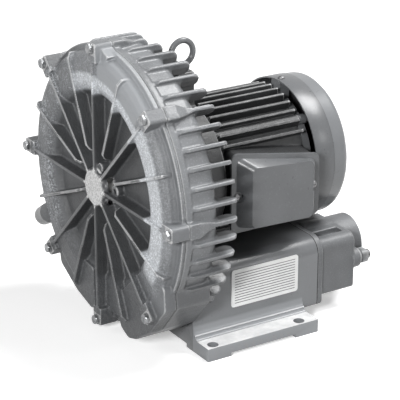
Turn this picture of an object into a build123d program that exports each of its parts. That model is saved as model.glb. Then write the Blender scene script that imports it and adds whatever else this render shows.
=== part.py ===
from build123d import *
import math
import os

# Side channel blower with its own flanged motor and silencer base.
# Millimetres. X runs along the shaft from the front cover to the fan cover,
# Z is up, and the terminal box is on the -Y side. The sub-parts are drawn with
# X = 0 on the hub face of the front cover and Z = 0 on the shaft axis; place()
# moves them so that the origin is the centre of the four foot holes, on the
# floor plane.

# ---------------------------------------------------------------- driving sizes
# Main layout along the shaft
axis_height = 165.0            # shaft axis above the floor
feet_x = 127.5                 # hub face to the centre of the foot holes
parting_x = 22.0               # joint between front cover and rear casing
casing_depth = 40.0            # parting joint to the rear face of the casing
neck_length = 34.0             # rear face of the casing to the motor
shield_thickness = 22.0        # drive end shield
frame_length = 104.0           # finned motor frame
rear_shield_thickness = 18.0
fan_cover_gap = 5.0            # frame end to the rim of the fan cover
fan_cover_length = 44.0
running_clearance = 0.05       # shaft in seal, bearings and bores
part_gap = 0.3                 # between pieces that do not touch
wall = 4.5                     # cast wall of cover, casing and chambers

# Front cover
hub_radius = 21.0
hub_scallop_radius = 6.0
hub_scallop_depth = 4.5
dish_depth = 15.0              # hub face to the floor of the dish
dish_radius = 97.0
crest_x = 4.0                  # front of the ring channel bulge
crest_inner_radius = 112.0
crest_outer_radius = 131.0
bulge_radius = 142.5           # outer side of the ring channel bulge
bulge_start = 204.0            # angles from the top between which the bulge runs
bulge_end = 483.0
bulge_ramp = 7.0               # degrees of lower bulge at its outlet end
land_x = 12.0                  # flat land between the ends of the bulge
lobe_x = 8.0                   # front of the inlet and outlet lobes
flange_radius = 149.0
cover_flange_thickness = 4.5
casing_flange_thickness = 7.7
rib_count = 16                 # every second rib ends in a bolt lug
rib_thickness = 3.4
short_rib_start = 37.0
lug_width = 16.0
lug_front_x = 1.0
lug_reach = 7.0                # past the flange
lug_depth = 20.0               # outer face of a lug to its inner face
lug_corner = 3.5
bolt_edge = 6.0                # bolt centre to the outer face of the lug

# Ring channel and impeller
channel_inner_radius = 102.0
channel_outer_radius = 135.0
channel_depth = 13.0
channel_end_wall = 4.0         # degrees of solid bulge past each end of the cover's channel
channel_arc = 330.0            # the rest is the solid interrupter
channel_start = 190.0          # angle from the top where the channel starts
impeller_radius = 137.5
impeller_width = 20.0
impeller_tip_clearance = 1.0
impeller_side_clearance = 1.0
impeller_web = 5.0
vane_count = 44
vane_thickness = 2.2
port_hole_radius = 19.0        # passage from the casing into the base
port_hole_y = 66.0
port_hole_drop = 104.0

# Casing fins
fin_pitch = 7.5                # degrees
fin_last_angle = 135.0         # each side of the top
fin_thickness = 4.4
fin_height = 4.5               # above the round of the casing
fin_tip_radius = 8.0
fin_overhang = 21.0            # past the rear face of the casing
fin_short_angle = 20.0         # fins nearer the top than this are shorter
casing_radius = 147.0
casing_corner = 10.0

# Shaft line
shaft_radius = 12.5
shaft_front_radius = 11.0      # impeller seat
shaft_thread_radius = 6.0
shaft_rear_radius = 10.0       # rear bearing seat
shaft_fan_radius = 8.0
nut_across_flats = 18.0
nut_height = 9.0
washer_radius = 17.0
washer_thickness = 2.5
key_width = 6.0
key_height = 6.0
key_length = 14.0
seal_radius = 20.0
seal_width = 8.0
front_bearing_radius = 26.0
front_bearing_width = 15.0
rear_bearing_radius = 23.5
rear_bearing_width = 14.0

# Motor
frame_radius = 64.5
frame_fin_radius = 75.0
frame_fin_count = 38
frame_fin_thickness = 3.0
shield_radius = 73.0
stator_radius = 60.0
stator_bore_radius = 35.0
air_gap = 0.4
core_length = 72.0
winding_length = 11.0
neck_radius = 60.0
neck_bore_radius = 38.0
frame_boss_radius = 5.5
frame_boss_circle = 67.0
casing_screw_circle = 49.0
fan_radius = 62.0
fan_blade_count = 8
fan_blade_thickness = 2.4
fan_cover_radius = 79.0
fan_cover_wall = 1.5
fan_cover_corner = 8.0
fan_cover_step = 1.1
fan_cover_screw_count = 3
fan_disc_thickness = 2.0
grille_ring_count = 5
grille_slot = 5.0

# Terminal box on the -Y side, turned a little towards the fan cover
box_left_x = 119.0
box_left_y = -76.0
box_length = 101.8
box_yaw = 7.3                  # degrees
box_left_top, box_left_bottom = 39.0, -50.0
box_right_top, box_right_bottom = 25.0, -43.0
lid_depth = 16.0
lid_flange_thickness = 3.0
lid_wall = 2.5
lid_gasket_thickness = 1.5
lid_face_left, lid_face_right = 18.0, 13.0     # inset of the face from the ends
lid_face_top, lid_face_bottom = 25.0, -42.0

# Eyebolt, M8
eyebolt_x = 108.0
eyebolt_seat = 109.5           # above the shaft axis
eyebolt_hole_radius = 10.0
eyebolt_wire_radius = 3.15
eyebolt_collar_radius = 8.0
eyebolt_collar_height = 5.0
eyebolt_thread_length = 15.0
eyebolt_boss_width = 22.0

# Base
base_half_width = 94.0
base_top_drop = 74.0           # below the shaft axis
base_bottom_height = 13.0      # underside of the chambers above the floor
base_end_x = 220.0
base_corner = 18.0
valley_half_width = 27.0       # under the motor
valley_drop = 82.0
base_front_wall = 10.0
chamber_inner_y = 32.0
chamber_top_drop = 80.0
foot_half_width = 124.0
foot_end_x = 201.0
foot_thickness = 14.5
foot_ledge = 3.0               # small ledge along the base side on the foot
pad_height = 4.0
pad_width = 43.0
pad_length = 28.5
foot_hole_radius = 6.0
foot_hole_spacing_x = 108.0
foot_hole_spacing_y = 232.0
port_gasket_thickness = 1.0

# End caps and ports
cap_gasket_thickness = 1.0
cap_flange_thickness = 6.0
cap_depth = 51.0               # base end to the back of the cap body
cap_side_inset = 3.0
cap_top_drop = 79.0
cap_bottom_height = 22.0
cap_inner_y = 18.0
cap_flange_inner_y = 6.0
cap_wall = 5.0
port_radius = 22.4             # 1 1/2 inch pipe thread, minor diameter
port_boss_radius = 28.0
port_y = 45.0
port_drop = 105.0
port_boss_end = 24.0           # past the cap body
plug_y = 82.5
plug_drop = 111.0
plug_boss_radius = 11.0
plug_boss_length = 8.0
plug_radius = 8.5
plug_length = 17.0
plug_thread_radius = 6.5
groove_width = 12.0
groove_depth = 9.0
cap_bolt_boss = 4.2            # boss inside the chamber round each cap bolt
cap_bolt_depth = 16.0

# Name plate, blank
plate_left_x, plate_right_x = 110.0, 194.0
plate_bottom_height, plate_top_height = 38.5, 80.5
plate_thickness = 0.8

# Fasteners: shank radius, head across flats, head height
m5 = (2.5, 8.0, 3.5)
m6 = (3.0, 10.0, 4.0)
m8 = (4.0, 13.0, 8.0)
thread_clearance = 0.05

# ------------------------------------------------------------- derived positions
casing_rear_x = parting_x + casing_depth
shield_front_x = casing_rear_x + neck_length
frame_front_x = shield_front_x + shield_thickness
frame_rear_x = frame_front_x + frame_length
shield_rear_x = frame_rear_x + rear_shield_thickness
fan_cover_front_x = frame_rear_x + fan_cover_gap
fan_cover_rear_x = fan_cover_front_x + fan_cover_length
impeller_front_x = parting_x + impeller_side_clearance
impeller_rear_x = impeller_front_x + impeller_width
cavity_rear_x = impeller_rear_x + impeller_side_clearance
seal_front_x = cavity_rear_x + wall + 5.5
front_bearing_x = shield_front_x + 3.0
rear_bearing_x = shield_rear_x - rear_bearing_width
core_front_x = frame_front_x + (frame_length - core_length) / 2
core_rear_x = core_front_x + core_length
fan_hub_x = shield_rear_x + 2.0
shaft_rear_x = fan_hub_x + 18.0
base_front_x = casing_rear_x + port_gasket_thickness
base_bottom_drop = axis_height - base_bottom_height
foot_top_drop = axis_height - foot_thickness
foot_bottom_drop = axis_height - pad_height
cap_front_x = base_end_x + cap_gasket_thickness
cap_rear_x = base_end_x + cap_depth
port_end_x = cap_rear_x + port_boss_end
bolt_circle_radius = flange_radius + lug_reach - bolt_edge
lug_outer_radius = flange_radius + lug_reach
fin_outer_radius = casing_radius + fin_height
lug_angles = [360.0 / (rib_count // 2) * i for i in range(rib_count // 2)]
short_rib_angles = [angle + 180.0 / (rib_count // 2) for angle in lug_angles]


# --------------------------------------------------------------------- helpers
def place(shape):
    """Move a piece from the shaft frame to the frame of the foot holes."""
    return Pos(-feet_x, 0, axis_height) * shape


def rod(radius, x0, x1, y=0.0, z=0.0):
    """Round bar along X."""
    return Pos((x0 + x1) / 2, y, z) * Rot(0, 90, 0) * Cylinder(radius, x1 - x0)


def pipe(outer, inner, x0, x1, y=0.0, z=0.0):
    """Tube along X."""
    return rod(outer, x0, x1, y, z) - rod(inner, x0 - 1, x1 + 1, y, z)


def block(x0, x1, y0, y1, z0, z1):
    """Box between two corners."""
    return Pos((x0 + x1) / 2, (y0 + y1) / 2, (z0 + z1) / 2) * Box(x1 - x0, y1 - y0, z1 - z0)


def around(angle):
    """Turn a piece drawn at the top about the shaft, positive towards -Y."""
    return Rot(angle, 0, 0)


def section(*points):
    """Closed face of (x, radius) points in the XZ plane."""
    return Plane.XZ * make_face(Polyline(*points, close=True))


def turned(*points):
    """Solid of revolution of (x, radius) points about the shaft."""
    return revolve(section(*points), Axis.X)


def plate(face, thickness):
    """Radial plate of the given section, centred on the XZ plane."""
    return extrude(face, thickness / 2, both=True)


def outline_x(points, x0, x1, radii=None):
    """Prism along X of (y, z) points, with one corner radius for each point."""
    line = Polyline(*points, close=True) if radii is None else FilletPolyline(
        *points, radius=radii, close=True)
    face = make_face(line)
    return extrude(Plane(origin=(x0, 0, 0), x_dir=(0, 1, 0), z_dir=(1, 0, 0)) * face, x1 - x0)


def bolt(size, length):
    """Hexagon bolt along +X with its seat at X = 0 and its head towards -X."""
    shank, flats, head = size
    face = RegularPolygon(flats / 2, 6, major_radius=False)
    hexagon = extrude(Plane(origin=(-head, 0, 0), z_dir=(1, 0, 0)) * face, head)
    return hexagon + rod(shank - thread_clearance, -head / 2, length)


def cap_screw(size, length):
    """Socket screw along +X with its seat at X = 0 and its head towards -X."""
    shank, head_width, head = size
    body = rod(head_width / 2, -head, 0) + rod(shank - thread_clearance, -head / 2, length)
    face = RegularPolygon(shank * 0.72, 6)
    socket = Plane(origin=(-head, 0, 0), z_dir=(1, 0, 0)) * face
    return body - extrude(socket, head / 2)


# ----------------------------------------------------------------- front cover
def lobe_right():
    """Outline of the outlet lobe, (y, z) points and corner radii."""
    points = [(-96, -52), (-128, -68), (-130, -92), (-100, -127), (-70, -147), (-54, -152), (-38, -145),
              (-30, -122), (-44, -100)]
    return points, [4, 6, 8, 10, 12, 12, 12, 10, 4]


def lobe_left():
    """Outline of the inlet lobe, (y, z) points and corner radii."""
    points = [(20, -100), (18, -151.5), (58, -140), (94, -121), (100, -90)]
    return points, [4, 8, 10, 8, 4]


def lobes(x0, x1):
    """Both lobes under the ring channel as prisms along X."""
    right_points, right_radii = lobe_right()
    left_points, left_radii = lobe_left()
    return outline_x(right_points, x0, x1, right_radii) + outline_x(left_points, x0, x1, left_radii)


def channel_cut(x_open, direction, start=channel_start, arc=channel_arc):
    """Ring channel cut, open at x_open and deep towards direction (-1 or 1)."""
    inner, outer = channel_inner_radius, channel_outer_radius
    deep = x_open + direction * channel_depth
    slope = x_open + direction * channel_depth * 0.62
    face = section((x_open - direction, inner - 1), (x_open, inner - 1), (slope, inner + 1),
                   (deep, inner + 9), (deep, outer - 9), (slope, outer - 1),
                   (x_open, outer + 1), (x_open - direction, outer + 1))
    return around(start) * revolve(face, Axis.X, revolution_arc=arc)


def bulge(crest, start, end):
    """Ring bulge over the channel with its front at crest, between two angles."""
    face = section((parting_x - 1, dish_radius), (dish_depth, dish_radius), (dish_depth - 5, dish_radius + 4),
                   (crest + 2, crest_inner_radius - 5), (crest, crest_inner_radius),
                   (crest, crest_outer_radius), (crest + 2, crest_outer_radius + 5),
                   (crest + 6, bulge_radius - 2), (parting_x - 1, bulge_radius))
    return around(start) * revolve(face, Axis.X, revolution_arc=end - start)


def cover_body():
    """Hub, dish, land, ring bulge and flange of the front cover, before cutting."""
    flange_x = parting_x - cover_flange_thickness
    body = turned((0, 0), (0, hub_radius - 3), (3, hub_radius), (dish_depth, hub_radius + 3),
                  (dish_depth, dish_radius), (land_x, dish_radius + 5), (land_x, bulge_radius - 3),
                  (land_x + 3, bulge_radius), (flange_x, bulge_radius),
                  (flange_x, flange_radius), (parting_x, flange_radius), (parting_x, 0))
    ramp_crest = (crest_x + land_x) / 2
    return body + bulge(crest_x, bulge_start, bulge_end) + bulge(
        ramp_crest, bulge_end - 1, bulge_end + bulge_ramp)


def long_rib():
    """Rib from the hub to a bolt lug, at the top."""
    return plate(section((0.6, 10), (0.6, bolt_circle_radius - 6), (parting_x, bolt_circle_radius - 6),
                         (parting_x, 10)), rib_thickness)


def short_rib():
    """Rib between two long ribs, rising from the dish floor, at the top."""
    start = short_rib_start
    return plate(section((parting_x, start - 2), (dish_depth, start - 2), (5, start + 2), (1.4, start + 8),
                         (0.8, bulge_radius - 6), (5, bulge_radius), (parting_x, bulge_radius)),
                 rib_thickness)


def cover_lug():
    """Bolt lug of the front cover, at the top."""
    block_ = block(lug_front_x, parting_x, -lug_width / 2, lug_width / 2,
                   lug_outer_radius - lug_depth, lug_outer_radius)
    return fillet(block_.edges().filter_by(Axis.X).group_by(Axis.Z)[-1], lug_corner)


def cover_gusset():
    """Web between the top lug and the flange, on the -Y side."""
    side, low = -lug_width / 2, lug_outer_radius - lug_depth
    points = [(side + 1, bolt_circle_radius + 1), (side - 14, bolt_circle_radius - 5), (side - 3, low),
              (side + 1, low)]
    return outline_x(points, lobe_x, parting_x)


def front_cover():
    """Die cast cover: dish with ribs, half of the ring channel and eight lugs."""
    body = cover_body() + lobes(lobe_x, parting_x) + cover_gusset()
    body += [around(a) * long_rib() for a in lug_angles]
    body += [around(a) * short_rib() for a in short_rib_angles]
    body += [around(a) * cover_lug() for a in lug_angles]
    body += rod(6.5, 6, dish_depth + 2, -34, 6)
    scallop = rod(hub_scallop_radius, -1, hub_scallop_depth, 0, hub_radius + 4.5)
    body -= [around(a) * scallop for a in short_rib_angles]
    body += rod(5.0, 4, dish_depth + 2, -8, hub_radius + 3)
    body -= channel_cut(parting_x, -1, bulge_start + channel_end_wall,
                        bulge_end - bulge_start - 2 * channel_end_wall)
    body -= rod(channel_inner_radius + 2, parting_x - impeller_side_clearance + 0.2, parting_x + 1)
    body -= rod(hub_radius + 2, 7, parting_x)
    body -= rod(2.6, 5, dish_depth + 3, -34, 6)
    hole = rod(m6[0] + 0.3, -1, parting_x + 1, 0, bolt_circle_radius)
    return body - [around(a) * hole for a in lug_angles]


# ----------------------------------------------------------------- rear casing
def casing_fin(overhang):
    """Radial cooling fin whose half round end overhangs the casing, at the top."""
    x_tip = casing_rear_x + overhang
    x_arc = x_tip - fin_tip_radius
    low = fin_outer_radius - 2 * fin_tip_radius
    start = parting_x + casing_flange_thickness
    edge = Polyline((x_arc, low), (start + 6, low), (start - 1, casing_radius - 1),
                    (start - 1, flange_radius - 1), (start + 6, fin_outer_radius), (x_arc, fin_outer_radius))
    tip = ThreePointArc((x_arc, fin_outer_radius), (x_tip, fin_outer_radius - fin_tip_radius), (x_arc, low))
    return plate(Plane.XZ * make_face(Curve() + [edge, tip]), fin_thickness)


def fin_reach(angle):
    """Overhang of the fin at an angle: shorter near the top, behind the eyebolt."""
    return fin_overhang * min(1.0, 0.25 + 0.75 * abs(angle) / fin_short_angle)


def casing_lug():
    """Bolt lug of the rear casing that tapers back into a fin, at the top."""
    half = lug_width / 2
    tail_x = casing_rear_x - 6
    face = make_face(Polyline((parting_x, -half), (parting_x + 13, -half), (tail_x, -fin_thickness / 2),
                              (tail_x, fin_thickness / 2), (parting_x + 13, half), (parting_x, half),
                              close=True))
    body = extrude(Pos(0, 0, lug_outer_radius - lug_depth + 4) * face, lug_depth - 4)
    top = plate(section((parting_x, 0), (parting_x, lug_outer_radius), (parting_x + 13, lug_outer_radius),
                        (tail_x - 8, fin_outer_radius), (tail_x, fin_outer_radius), (tail_x, 0)), lug_width)
    return body & top


def fin_angles():
    """Angles of the casing fins, none where the base joins the casing."""
    steps = int(fin_last_angle / fin_pitch)
    return [fin_pitch * i for i in range(-steps, steps + 1)]


def base_screw_places():
    """(y, z) of the screws that hold the base to the casing."""
    return [(-24, -84), (24, -84), (-6, -118)]


def casing_screws_at(angle_offset=45.0):
    """Angles of the four screws between casing neck and motor."""
    return [angle_offset + 90.0 * i for i in range(4)]


def rear_casing():
    """Die cast casing: impeller chamber, ring channel, fins and motor neck."""
    flange_x = parting_x + casing_flange_thickness
    c = casing_corner
    body = turned((parting_x, 0), (parting_x, flange_radius), (flange_x, flange_radius),
                  (flange_x, casing_radius), (casing_rear_x - c, casing_radius),
                  (casing_rear_x - c * 0.5, casing_radius - c * 0.134),
                  (casing_rear_x - c * 0.134, casing_radius - c * 0.5),
                  (casing_rear_x, casing_radius - c), (casing_rear_x, neck_radius),
                  (shield_front_x, neck_radius), (shield_front_x, 0))
    body += lobes(parting_x, casing_rear_x)
    body += [around(a) * casing_fin(fin_reach(a)) for a in fin_angles()]
    body += [around(a) * casing_lug() for a in lug_angles]
    body -= rod(impeller_radius + impeller_tip_clearance, parting_x - 1, cavity_rear_x)
    body -= channel_cut(cavity_rear_x, 1)
    body -= rod(seal_radius, seal_front_x, casing_rear_x + 1)
    body -= rod(shaft_radius + 1, parting_x, casing_rear_x + 1)
    body -= rod(neck_bore_radius, seal_front_x + seal_width, shield_front_x + 1)
    for side in (-1, 1):
        body -= rod(port_hole_radius, cavity_rear_x, casing_rear_x + 1, side * port_hole_y, -port_hole_drop)
    hole = rod(m6[0], parting_x - 1, parting_x + 20, 0, bolt_circle_radius)
    body -= [around(a) * hole for a in lug_angles]
    screw_hole = rod(m8[0] + 0.3, parting_x, shield_front_x + 1, 0, casing_screw_circle)
    screw_hole += rod(m8[1] / 2 + 0.5, parting_x, cavity_rear_x + m8[2] + 1, 0, casing_screw_circle)
    body -= [around(a) * screw_hole for a in casing_screws_at()]
    for y, z in base_screw_places():
        body -= rod(m8[0] + 0.3, parting_x, casing_rear_x + 1, y, z)
        body -= rod(m8[1] / 2 + 0.5, parting_x, cavity_rear_x + m8[2] + 1, y, z)
    return body


def cover_bolts():
    """Eight M6 bolts that hold the front cover, one at each lug."""
    one = Pos(lug_front_x, 0, bolt_circle_radius) * bolt(m6, parting_x - lug_front_x + 17)
    return [around(a) * one for a in lug_angles]


def casing_screws():
    """Four M8 socket screws from the impeller chamber into the motor shield."""
    seat = cavity_rear_x + m8[2] + 1
    one = Pos(seat, 0, casing_screw_circle) * cap_screw(m8, shield_front_x - seat + 16)
    return [around(a) * one for a in casing_screws_at()]


def base_screws():
    """Three M8 socket screws from the impeller chamber into the base."""
    seat = cavity_rear_x + m8[2] + 1
    length = base_front_x - seat + base_front_wall - 1
    return [Pos(seat, y, z) * cap_screw(m8, length) for y, z in base_screw_places()]


# --------------------------------------------------------- impeller and its fixing
def vane():
    """One straight radial vane with rounded corners, at the top."""
    x0, x1 = impeller_front_x, impeller_rear_x
    low, high = channel_inner_radius, impeller_radius
    return plate(section((x0 + 5, low), (x0, low + 6), (x0, high), (x1, high), (x1, low + 6), (x1 - 5, low)),
                 vane_thickness)


def impeller():
    """Impeller: hub, thin disc, vane ring with a central web, straight vanes."""
    x0, x1 = impeller_front_x, impeller_rear_x
    mid = (x0 + x1) / 2
    half = impeller_web / 2
    rim = channel_inner_radius
    body = turned((x0, shaft_front_radius + running_clearance), (x0, 30), (mid - half, 34),
                  (mid - half, rim - 14), (x0, rim - 8), (x0, rim), (mid - 1.2, rim + 14),
                  (mid - 1.2, impeller_radius), (mid + 1.2, impeller_radius), (mid + 1.2, rim + 14),
                  (x1, rim), (x1, rim - 8), (mid + half, rim - 14), (mid + half, 34),
                  (x1, 30), (x1, shaft_front_radius + running_clearance))
    step = 360.0 / vane_count
    body += [around(step * i) * vane() for i in range(vane_count)]
    slot = block(x0 - 1, x1 + 1, -key_width / 2 - running_clearance, key_width / 2 + running_clearance,
                 0, shaft_front_radius + key_height / 2 + 0.2)
    slot -= rod(shaft_front_radius, x0 - 2, x1 + 2)
    balance = rod(5, x0 - 1, x1 + 1, 0, 58)
    return body - slot - [around(90.0 * i + 45) * balance for i in range(4)]


def impeller_key():
    """Parallel key between shaft and impeller."""
    x0 = impeller_front_x + (impeller_width - key_length) / 2
    depth = shaft_front_radius - key_height / 2
    return block(x0, x0 + key_length, -key_width / 2, key_width / 2, depth, depth + key_height)


def impeller_washer():
    """Thick washer between nut and impeller hub."""
    x1 = impeller_front_x
    return pipe(washer_radius, shaft_thread_radius + 0.2, x1 - washer_thickness, x1)


def impeller_nut():
    """Hexagon nut that holds the impeller on the shaft."""
    x1 = impeller_front_x - washer_thickness
    face = RegularPolygon(nut_across_flats / 2, 6, major_radius=False)
    nut = extrude(Plane(origin=(x1 - nut_height, 0, 0), z_dir=(1, 0, 0)) * face, nut_height)
    return nut - rod(shaft_thread_radius + thread_clearance, x1 - nut_height - 1, x1 + 1)


# ------------------------------------------------------------------ shaft line
def shaft():
    """Stepped shaft with seats for impeller, bearings, rotor core and fan."""
    x_nut = impeller_front_x - washer_thickness - nut_height - 2
    seat_end = front_bearing_x + front_bearing_width
    body = turned((x_nut, 0), (x_nut, shaft_thread_radius - 1), (x_nut + 1, shaft_thread_radius),
                  (impeller_front_x, shaft_thread_radius), (impeller_front_x, shaft_front_radius),
                  (impeller_rear_x, shaft_front_radius), (impeller_rear_x, shaft_radius),
                  (seat_end, shaft_radius), (seat_end, shaft_radius + 3),
                  (core_front_x, shaft_radius + 3), (core_front_x, shaft_radius + 2.5),
                  (core_rear_x, shaft_radius + 2.5), (rear_bearing_x, shaft_radius + 1),
                  (rear_bearing_x, shaft_rear_radius), (shield_rear_x, shaft_rear_radius),
                  (shield_rear_x, shaft_fan_radius), (shaft_rear_x - 1, shaft_fan_radius),
                  (shaft_rear_x, shaft_fan_radius - 1), (shaft_rear_x, 0))
    x0 = impeller_front_x + (impeller_width - key_length) / 2
    return body - block(x0, x0 + key_length, -key_width / 2, key_width / 2,
                        shaft_front_radius - key_height / 2, shaft_radius)


def shaft_seal():
    """Lip seal between impeller chamber and motor."""
    x0 = seal_front_x
    x1 = x0 + seal_width
    lip = shaft_radius + running_clearance
    return turned((x0, lip + 1), (x0, seal_radius - 0.02), (x1, seal_radius - 0.02), (x1, seal_radius - 2.5),
                  (x0 + 2.5, seal_radius - 2.5), (x0 + 2.5, lip + 3), (x1 - 2, lip), (x1 - 4, lip))


def bearing_outer(x0, outer, inner, width):
    """Outer ring of a shielded ball bearing with its two shields."""
    split = inner + (outer - inner) * 0.36
    land = outer - (outer - inner) * 0.26
    return turned((x0, split), (x0, outer - 0.02), (x0 + width, outer - 0.02), (x0 + width, split),
                  (x0 + width - 1, split), (x0 + width - 1, land), (x0 + 1, land), (x0 + 1, split))


def bearing_inner(x0, outer, inner, width):
    """Inner ring of a ball bearing."""
    split = inner + (outer - inner) * 0.36 - part_gap
    return pipe(split, inner + 0.01, x0, x0 + width)


def bearing_stop():
    """Wavy spring washer behind the rear bearing, as a flat ring."""
    return pipe(rear_bearing_radius - 0.5, rear_bearing_radius - 5, rear_bearing_x - 1.2, rear_bearing_x)


# ----------------------------------------------------------------------- motor
def front_shield():
    """Drive end shield with the bearing seat and the eyebolt boss."""
    x0, x1 = shield_front_x, frame_front_x
    bore = front_bearing_radius
    body = turned((x0, bore - 4), (x0, shield_radius - 2), (x0 + 2, shield_radius), (x1, shield_radius),
                  (x1, stator_radius), (x1 + 3, stator_radius), (x1 + 3, stator_radius - 5),
                  (x0 + 7, stator_radius - 5), (x0 + 7, bore + 6),
                  (front_bearing_x + front_bearing_width, bore + 6),
                  (front_bearing_x + front_bearing_width, bore), (front_bearing_x, bore),
                  (front_bearing_x, bore - 4))
    half = eyebolt_boss_width / 2
    body += block(x0 + 1, x1 - 1, -half, half, shield_radius - 6, eyebolt_seat)
    hole = rod(m5[0] + 0.3, x0 - 1, x1 + 1, 0, frame_boss_circle)
    body -= [around(a) * hole for a in casing_screws_at()]
    tapped = rod(m8[0], x0 - 1, x0 + 17, 0, casing_screw_circle)
    body += [around(a) * rod(m8[0] + 3, x0 + 1, x0 + 18, 0, casing_screw_circle) for a in casing_screws_at()]
    body -= [around(a) * tapped for a in casing_screws_at()]
    body -= Pos(eyebolt_x, 0, eyebolt_seat) * Cylinder(m8[0], 2 * (eyebolt_thread_length + 2))
    return body


def box_plane(depth=0.0):
    """Plane of the terminal box flange, X along the box, Z outwards."""
    yaw = math.radians(box_yaw)
    normal = (-math.sin(yaw), -math.cos(yaw), 0)
    origin = (box_left_x + depth * normal[0], box_left_y + depth * normal[1], 0)
    return Plane(origin=origin, x_dir=(math.cos(yaw), -math.sin(yaw), 0), z_dir=normal)


def box_outline(inset, corner=7.0):
    """Trapezoid outline of the terminal box flange, moved in by inset."""
    points = [(inset, box_left_bottom + inset), (box_length - inset, box_right_bottom + inset),
              (box_length - inset, box_right_top - inset), (inset, box_left_top - inset)]
    return make_face(FilletPolyline(*points, radius=corner, close=True))


def lid_face(inset):
    """Smaller outline of the lid's face, moved in by inset."""
    points = [(lid_face_left + inset, lid_face_bottom + inset),
              (box_length - lid_face_right - inset, lid_face_bottom + 2 + inset),
              (box_length - lid_face_right - inset, lid_face_top - 2 - inset),
              (lid_face_left + inset, lid_face_top - inset)]
    return make_face(FilletPolyline(*points, radius=6.0, close=True))


def box_screw_places():
    """(u, w) of the two lid screws in the plane of the terminal box."""
    middle = (box_right_top + box_right_bottom) / 2
    return [(6.5, middle), (box_length - 6.5, middle)]


def motor_frame():
    """Finned motor frame with the terminal box pedestal and four screw bosses."""
    x0, x1 = frame_front_x, frame_rear_x
    body = rod(frame_radius, x0, x1)
    step = 360.0 / frame_fin_count
    fin = plate(section((x0, frame_radius - 1), (x0 + 2, frame_fin_radius), (x1 - 2, frame_fin_radius),
                        (x1, frame_radius - 1)), frame_fin_thickness)
    body += [around(step * i) * fin for i in range(frame_fin_count) if not 62 < step * i < 128]
    boss = rod(frame_boss_radius, x0, x1, 0, frame_boss_circle)
    body += [around(a) * boss for a in casing_screws_at()]
    body += extrude(box_plane() * box_outline(2.0), -40) & rod(400, x0 + 1, x1 - 1)
    body -= extrude(box_plane(1.0) * box_outline(9.0), -12)
    body -= rod(stator_radius + 0.02, x0 - 1, x1 + 1)
    hole = rod(m5[0], x0 - 1, x0 + 18, 0, frame_boss_circle)
    hole += rod(m5[0], x1 - 18, x1 + 1, 0, frame_boss_circle)
    body -= [around(a) * hole for a in casing_screws_at()]
    for u, w in box_screw_places():
        body -= extrude(box_plane(1.0) * Pos(u, w) * Circle(2.0), -12)
    return body - Pos(bush_x(), bush_y(), box_left_bottom) * Cylinder(bush_radius() - 2, 24)


def bush_radius():
    """Outer radius of the cable bush collar."""
    return 8.5


def bush_x():
    """Cable entry position along the terminal box."""
    return box_left_x + box_length * 0.55


def bush_y():
    """Cable entry position in depth."""
    return box_left_y - math.sin(math.radians(box_yaw)) * box_length * 0.55 + 8.0


def cable_bush():
    """Rubber bush in the cable entry under the terminal box."""
    z = (box_left_bottom + box_right_bottom) / 2 + 2 - 0.4
    collar = Pos(bush_x(), bush_y(), z - 2.5) * Cylinder(bush_radius(), 2.2)
    return collar + Pos(bush_x(), bush_y(), z + 1) * Cylinder(bush_radius() - 2.1, 7)


def front_shield_screws():
    """Four M5 screws from the drive end shield into the frame."""
    one = Pos(shield_front_x, 0, frame_boss_circle) * bolt(m5, shield_thickness + 14)
    return [around(a) * one for a in casing_screws_at()]


def rear_shield_screws():
    """Four M5 screws from the rear shield into the frame."""
    one = Pos(frame_rear_x + 8, 0, frame_boss_circle) * Rot(0, 180, 0) * bolt(m5, 8 + 14)
    return [around(a) * one for a in casing_screws_at()]


def stator_core():
    """Laminated stator core with slots."""
    body = pipe(stator_radius, stator_bore_radius, core_front_x, core_rear_x)
    slot = block(core_front_x - 1, core_rear_x + 1, -2.2, 2.2, stator_bore_radius - 2, stator_bore_radius + 13)
    return body - [around(15.0 * i) * slot for i in range(24)]


def stator_windings():
    """End turns of the winding, one coil ring at each end of the core."""
    low, high = stator_bore_radius + 3, stator_radius - 6
    return [pipe(high, low, core_front_x - winding_length, core_front_x),
            pipe(high, low, core_rear_x, core_rear_x + winding_length)]


def rotor_core():
    """Cage rotor core with its end rings."""
    outer = stator_bore_radius - air_gap
    bore = shaft_radius + 2.5 + 0.01
    body = pipe(outer, bore, core_front_x, core_rear_x)
    body += pipe(outer - 3, outer - 12, core_front_x - 7, core_front_x + 1)
    return body + pipe(outer - 3, outer - 12, core_rear_x - 1, core_rear_x + 7)


def rear_shield():
    """Rear end shield with the bearing seat and the fan cover lugs."""
    x0, x1 = frame_rear_x, shield_rear_x
    bore = rear_bearing_radius
    body = turned((x0 - 3, stator_radius), (x0, stator_radius), (x0, frame_radius), (x0 + 8, frame_radius),
                  (x0 + 10, frame_radius - 4), (x1 - 4, bore + 8), (x1, bore + 6), (x1, bore),
                  (rear_bearing_x - 1.3, bore), (rear_bearing_x - 1.3, bore - 6), (x0 + 1, bore - 6),
                  (x0 + 1, stator_radius - 5), (x0 - 3, stator_radius - 5))
    lug = block(x0 + 4, x1 - 2, -8, 8, bore + 4, fan_cover_radius)
    lug = lug & rod(fan_cover_radius - fan_cover_wall - 0.05, x0, x1)
    body += [around(a) * lug for a in fan_screw_angles()]
    ear = rod(frame_boss_radius, x0, x0 + 8, 0, frame_boss_circle)
    body += [around(a) * ear for a in casing_screws_at()]
    seat = rod(m5[1] / 2 + 1, x0 + 8, x1, 0, frame_boss_circle)
    body -= [around(a) * seat for a in casing_screws_at()]
    hole = rod(m5[0] + 0.3, x0 - 1, x0 + 12, 0, frame_boss_circle)
    body -= [around(a) * hole for a in casing_screws_at()]
    return body - [around(a) * fan_screw_hole(1.9) for a in fan_screw_angles()]


def fan_screw_angles():
    """Angles of the screws round the rim of the fan cover."""
    return [360.0 / fan_cover_screw_count * i for i in range(fan_cover_screw_count)]


def fan_screw_x():
    """Position of the fan cover screws along the shaft."""
    return fan_cover_front_x + 6


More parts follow.
